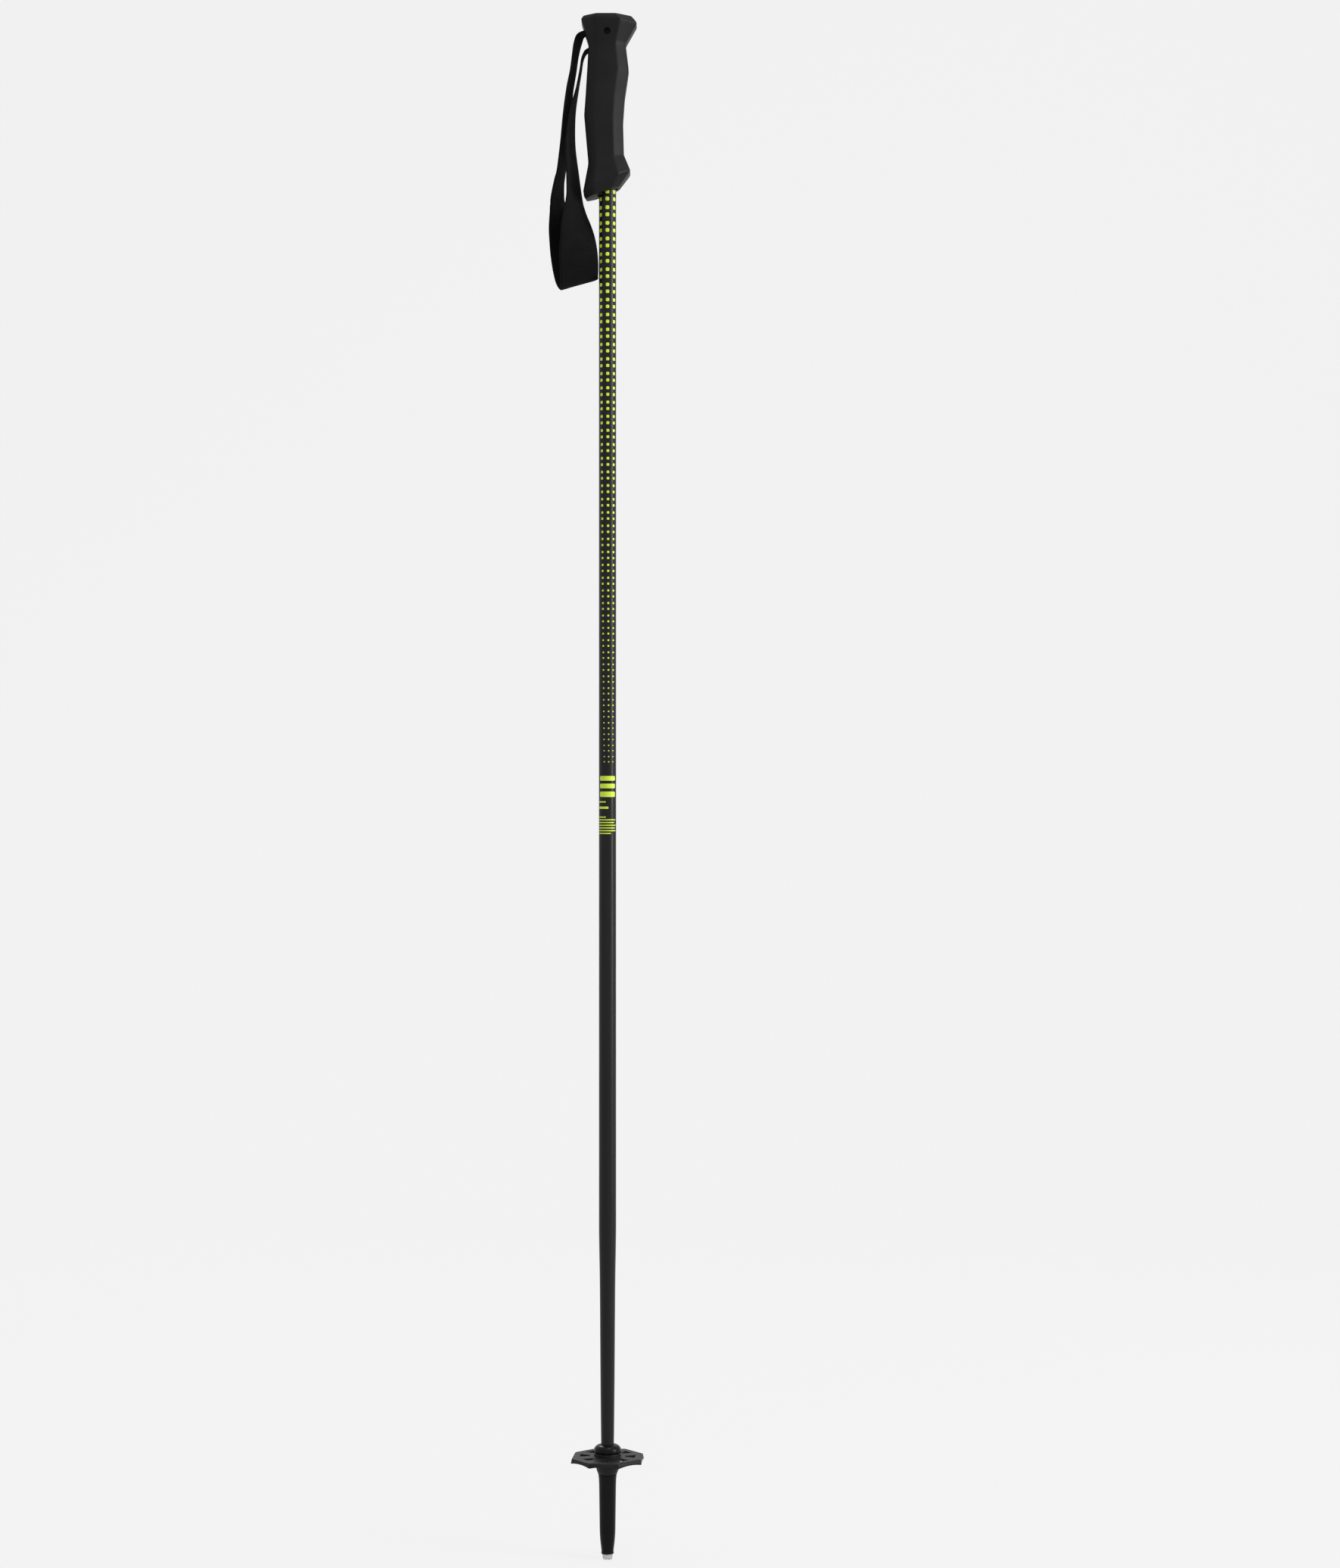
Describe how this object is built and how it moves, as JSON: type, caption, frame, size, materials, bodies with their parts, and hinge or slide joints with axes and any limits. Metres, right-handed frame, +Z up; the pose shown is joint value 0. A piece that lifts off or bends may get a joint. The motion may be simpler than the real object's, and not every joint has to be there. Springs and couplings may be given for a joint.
{
  "type": "ski pole",
  "caption": "Slim ski pole with a faceted flared grip, twisted webbing wrist strap, tapered shaft, eight-sided drooping basket and hollow metal tip.",
  "frame": {"origin": "lowest point of the tip, on the shaft's axis", "axes": "+Z up the shaft towards the grip, +X towards the finger side of the grip, strap at -X"},
  "size_m": [0.078, 0.059, 1.25],
  "materials": {
    "shaft": "satin dark lacquer over a fibre tube, with light green printed marks",
    "core": "plain moulded",
    "grip": "matt, soft touch",
    "pin": "dull",
    "webbing": "ribbed woven webbing",
    "ferrule": "semi-gloss moulded",
    "basket": "semi-matt moulded",
    "tip": "bare metal, worn"
  },
  "bodies": {
    "pole": {"shaft_tube": "shaft", "shaft_top_plug": "core", "grip_core": "core", "grip_cover": "grip", "strap_pin": "pin", "strap_anchor": "webbing", "tip_ferrule": "ferrule", "tip_insert": "tip"},
    "strap": {"strap_outer_run": "webbing", "strap_inner_run": "webbing"},
    "basket": {"basket": "basket"}
  },
  "joints": [
    {"name": "strap_swing", "type": "hinge", "parent": "pole", "child": "strap", "pos_m": [-0.0195, 0, 1.2364], "axis": [0, 1, 0], "range_deg": [0, 110]},
    {"name": "basket_turn", "type": "hinge", "parent": "pole", "child": "basket", "pos_m": [0, 0, 0.0815], "axis": [0, 0, 1], "continuous": true}
  ]
}
